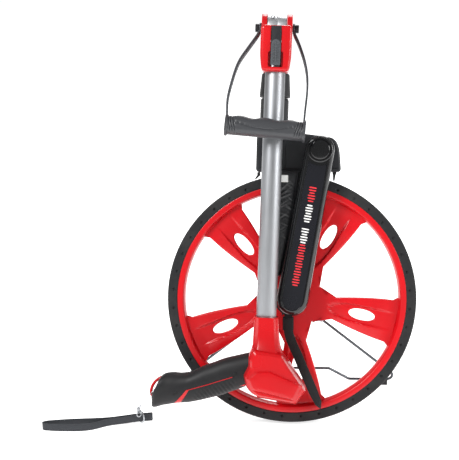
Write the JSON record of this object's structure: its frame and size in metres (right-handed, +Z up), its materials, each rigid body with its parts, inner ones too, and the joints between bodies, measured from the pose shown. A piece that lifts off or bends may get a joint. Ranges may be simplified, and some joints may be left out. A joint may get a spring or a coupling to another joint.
{
  "type": "measuring wheel",
  "caption": "Folding electronic measuring wheel with a one metre tread, a forked crown, a folded tubular pole, a display grip, a carry bail and a wire stand, leaning on its stand.",
  "frame": {"origin": "on the ground under the middle of the object's box, without the lanyard", "axes": "+Z up, -Y the front, which is the side of the folded pole and of the covered arm, +X to the right of someone facing the front"},
  "size_m": [0.4792, 0.2162, 0.5113],
  "materials": {
    "tyre_rubber": "matt black moulded rubber with dimpled sides",
    "red_plastic": "red moulded ABS, satin gloss",
    "bearing_steel": "ground steel",
    "black_gloss": "glossy black moulded ABS",
    "black_plastic": "fine textured black ABS",
    "panel_tint": "tinted dark panel with a red and white stripe",
    "zinc_steel": "bright zinc plated steel",
    "aluminium": "satin anodised tube",
    "grey_plastic": "grey moulded nylon",
    "black_steel": "black powder coat",
    "rubber": "soft black overmould",
    "pad_fabric": "dark grey padded woven fabric",
    "label_fabric": "plain white woven tag",
    "webbing": "black polyester webbing",
    "board": "green printed circuit board",
    "cell": "battery cell jacket",
    "glass": "clear display window",
    "lcd": "grey green liquid crystal display"
  },
  "bodies": {
    "fork": {"crown_front": "black_plastic", "crown_rear": "black_plastic", "crown_screws": "zinc_steel", "tyre_scrapers": "black_plastic", "arm_front_shell": "black_plastic", "arm_front_cover": "black_gloss", "arm_front_panel": "panel_tint", "arm_front_cap": "black_gloss", "arm_rear_shell": "black_plastic", "arm_bolt": "zinc_steel", "arm_bolt_nut": "zinc_steel", "axle": "bearing_steel", "axle_nuts": "zinc_steel", "sensor_board": "board", "lower_tube": "aluminium", "pole_stem": "black_plastic", "stem_sleeve": "black_plastic", "lower_knuckle": "aluminium", "fold_pin": "black_steel", "stand_yoke": "black_steel", "stand_pin": "zinc_steel", "strap_pad": "pad_fabric", "strap_label": "label_fabric", "strap_anchor": "webbing", "strap_buckle": "black_plastic", "strap_webbing": "webbing"},
    "wheel": {"tyre": "tyre_rubber", "wheel": "red_plastic", "wheel_bearings": "bearing_steel", "encoder_ring": "grey_plastic"},
    "handle": {"upper_knuckle": "red_plastic", "upper_tube": "aluminium", "latch_pin": "bearing_steel", "latch_spring": "bearing_steel", "head_front": "red_plastic", "head_rear": "red_plastic", "grip_rubber": "rubber", "grip_screws": "zinc_steel", "side_cover": "red_plastic", "battery_cells": "cell", "display_frame": "black_gloss", "display_glass": "glass", "display_module": "lcd", "circuit_board": "board", "lanyard_wire": "bearing_steel", "lanyard_swivel": "bearing_steel", "lanyard_ring": "bearing_steel", "lanyard_webbing": "webbing"},
    "latch": {"latch_lever": "grey_plastic"},
    "bail": {"bail_strip": "black_steel", "bail_grip": "rubber"},
    "stand": {"stand_bracket": "black_plastic", "stand_ferrules": "zinc_steel", "stand_wire": "zinc_steel", "stand_feet": "rubber"},
    "button_1": {"button_1": "rubber"},
    "button_2": {"button_2": "rubber"},
    "button_3": {"button_3": "rubber"},
    "button_4": {"button_4": "rubber"}
  },
  "joints": [
    {"name": "wheel_spin", "type": "hinge", "parent": "fork", "child": "wheel", "pos_m": [0.00927, 0.00253, 0.15606], "axis": [0, 0.9659, -0.2588], "continuous": true},
    {"name": "pole_fold", "type": "hinge", "parent": "fork", "child": "handle", "pos_m": [-0.00948, 0.06697, 0.49316], "axis": [-0.9994, 0.009, 0.0337], "range_deg": [0, 180]},
    {"name": "latch_press", "type": "hinge", "parent": "handle", "child": "latch", "pos_m": [-0.01018, 0.02239, 0.48441], "axis": [-0.9994, 0.009, 0.0337], "range_deg": [0, 10], "stiffness_Nm_per_rad": 0.3, "springref_deg": -5.73, "deforming": ["latch_spring"]},
    {"name": "bail_swing", "type": "hinge", "parent": "handle", "child": "bail", "pos_m": [-0.00948, 0.06697, 0.49316], "axis": [-0.9994, 0.009, 0.0337], "range_deg": [0, 135]},
    {"name": "stand_fold", "type": "hinge", "parent": "fork", "child": "stand", "pos_m": [0.00927, 0.03851, 0.13193], "axis": [-1, 0, 0], "range_deg": [0, 33]},
    {"name": "button_1_press", "type": "slide", "parent": "handle", "child": "button_1", "axis": [0.1719, 0.255, 0.9515], "range_m": [0, 0.0008], "stiffness_N_per_m": 500, "springref_m": -0.0008},
    {"name": "button_2_press", "type": "slide", "parent": "handle", "child": "button_2", "axis": [0.1719, 0.255, 0.9515], "range_m": [0, 0.0008], "stiffness_N_per_m": 500, "springref_m": -0.0008},
    {"name": "button_3_press", "type": "slide", "parent": "handle", "child": "button_3", "axis": [0.1719, 0.255, 0.9515], "range_m": [0, 0.0008], "stiffness_N_per_m": 500, "springref_m": -0.0008},
    {"name": "button_4_press", "type": "slide", "parent": "handle", "child": "button_4", "axis": [0.1719, 0.255, 0.9515], "range_m": [0, 0.0008], "stiffness_N_per_m": 500, "springref_m": -0.0008}
  ]
}
